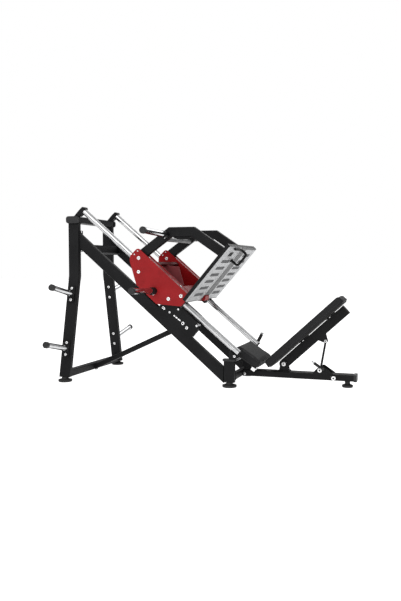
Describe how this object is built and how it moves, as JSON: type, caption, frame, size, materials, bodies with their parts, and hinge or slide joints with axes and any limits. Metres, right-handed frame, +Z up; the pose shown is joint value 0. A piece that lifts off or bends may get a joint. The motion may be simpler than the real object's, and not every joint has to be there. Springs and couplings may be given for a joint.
{
  "type": "leg press machine",
  "caption": "Plate-loaded incline leg press: a carriage with a foot plate rides two guide rods above a low seat with a reclining backrest, with plate horns and a safety catch.",
  "frame": {"origin": "centre of the footprint's bounding box, on the floor under the rubber feet", "axes": "+X from the rear uprights towards the head of the backrest, +Y to the far side, where the safety handle is, +Z up"},
  "size_m": [2.42, 1.6198, 1.4763],
  "materials": {
    "black_powder_coat": "semi-matt black powder coat",
    "red_powder_coat": "satin deep red powder coat",
    "chrome": "polished chrome",
    "silver_foot_plate": "silver-grey powder coat with dark grip slots",
    "black_rubber": "matt black rubber",
    "charcoal_vinyl": "charcoal upholstery vinyl, fine grain",
    "zinc_steel": "bright zinc-plated steel"
  },
  "bodies": {
    "frame": {"rear_upright_near": "black_powder_coat", "rear_upright_far": "black_powder_coat", "top_crossbeam": "black_powder_coat", "rear_lower_crosstube": "black_powder_coat", "upper_cross_channel": "black_powder_coat", "slanted_beam_near": "black_powder_coat", "slanted_beam_far": "black_powder_coat", "floor_brace": "black_powder_coat", "rod_top_bracket_near": "black_powder_coat", "rod_top_bracket_far": "black_powder_coat", "rod_lower_bracket_near": "black_powder_coat", "rod_lower_bracket_far": "black_powder_coat", "front_post_near": "black_powder_coat", "front_post_far": "black_powder_coat", "front_crosstube": "black_powder_coat", "base_tube": "black_powder_coat", "stop_bracket": "black_powder_coat", "seat_support": "black_powder_coat", "backrest_pivot_bracket": "black_powder_coat", "adjuster_bracket": "black_powder_coat", "guide_rod_near": "chrome", "guide_rod_far": "chrome", "storage_horn_upper_near": "chrome", "storage_horn_upper_far": "chrome", "storage_horn_lower_near": "chrome", "storage_horn_lower_far": "chrome", "backrest_pivot_pin": "chrome", "rear_foot_near": "black_rubber", "rear_foot_far": "black_rubber", "front_foot_near": "black_rubber", "front_foot_far": "black_rubber", "back_foot": "black_rubber", "seat_pad": "charcoal_vinyl"},
    "carriage": {"carriage_side_plate_near": "red_powder_coat", "carriage_side_plate_far": "red_powder_coat", "carriage_inner_plate_near": "red_powder_coat", "carriage_inner_plate_far": "red_powder_coat", "bearing_housing_upper_near": "black_powder_coat", "bearing_housing_upper_far": "black_powder_coat", "bearing_housing_lower_near": "black_powder_coat", "bearing_housing_lower_far": "black_powder_coat", "carriage_tube_near": "black_powder_coat", "carriage_tube_far": "black_powder_coat", "carriage_cross_tube": "zinc_steel", "carriage_cross_plate": "red_powder_coat", "foot_plate_frame": "black_powder_coat", "foot_plate": "silver_foot_plate", "loop_handle": "black_powder_coat", "weight_horn_upper_near": "chrome", "weight_horn_upper_far": "chrome", "weight_horn_lower_near": "chrome", "weight_horn_lower_far": "chrome"},
    "backrest": {"back_tube": "black_powder_coat", "back_pad": "charcoal_vinyl"},
    "backrest_strut": {"backrest_strut": "black_powder_coat"},
    "adjuster_lever": {"adjuster_lever": "zinc_steel"},
    "safety_handle": {"safety_handle": "zinc_steel", "safety_handle_grip": "black_rubber"},
    "release_link": {"release_link": "zinc_steel"},
    "safety_catch": {"safety_catch": "zinc_steel"}
  },
  "joints": [
    {"name": "carriage_slide", "type": "slide", "parent": "frame", "child": "carriage", "axis": [-0.7638, 0, 0.6455], "range_m": [0, 0.52]},
    {"name": "backrest_recline", "type": "hinge", "parent": "frame", "child": "backrest", "pos_m": [0.62, 0, 0.167], "axis": [0, 1, 0], "range_deg": [-4, 6]},
    {"name": "strut_swing", "type": "hinge", "parent": "backrest", "child": "backrest_strut", "pos_m": [0.957, 0, 0.368], "axis": [0, 1, 0], "range_deg": [-3, 4]},
    {"name": "adjuster_lever_turn", "type": "hinge", "parent": "frame", "child": "adjuster_lever", "pos_m": [0.946, -0.0566, 0.146], "axis": [0, 1, 0], "range_deg": [0, 20], "stiffness_Nm_per_rad": 0.6, "springref_deg": -11.46},
    {"name": "safety_handle_turn", "type": "hinge", "parent": "frame", "child": "safety_handle", "pos_m": [0.233, 0, 0.19], "axis": [0, -1, 0], "range_deg": [0, 24], "stiffness_Nm_per_rad": 6, "springref_deg": -17.19},
    {"name": "release_link_slide", "type": "slide", "parent": "frame", "child": "release_link", "axis": [0.7638, 0, -0.6455], "range_m": [0, 0.036]},
    {"name": "safety_catch_turn", "type": "hinge", "parent": "frame", "child": "safety_catch", "pos_m": [-0.0349, 0, 0.4893], "axis": [0, -1, 0], "range_deg": [0, 14.5]}
  ],
  "couplings": [
    {"joint": "strut_swing", "follows": "backrest_recline", "ratio": 0.5},
    {"joint": "release_link_slide", "follows": "safety_handle_turn", "m_per_rad": 0.083},
    {"joint": "safety_catch_turn", "follows": "safety_handle_turn", "ratio": 0.5833}
  ]
}
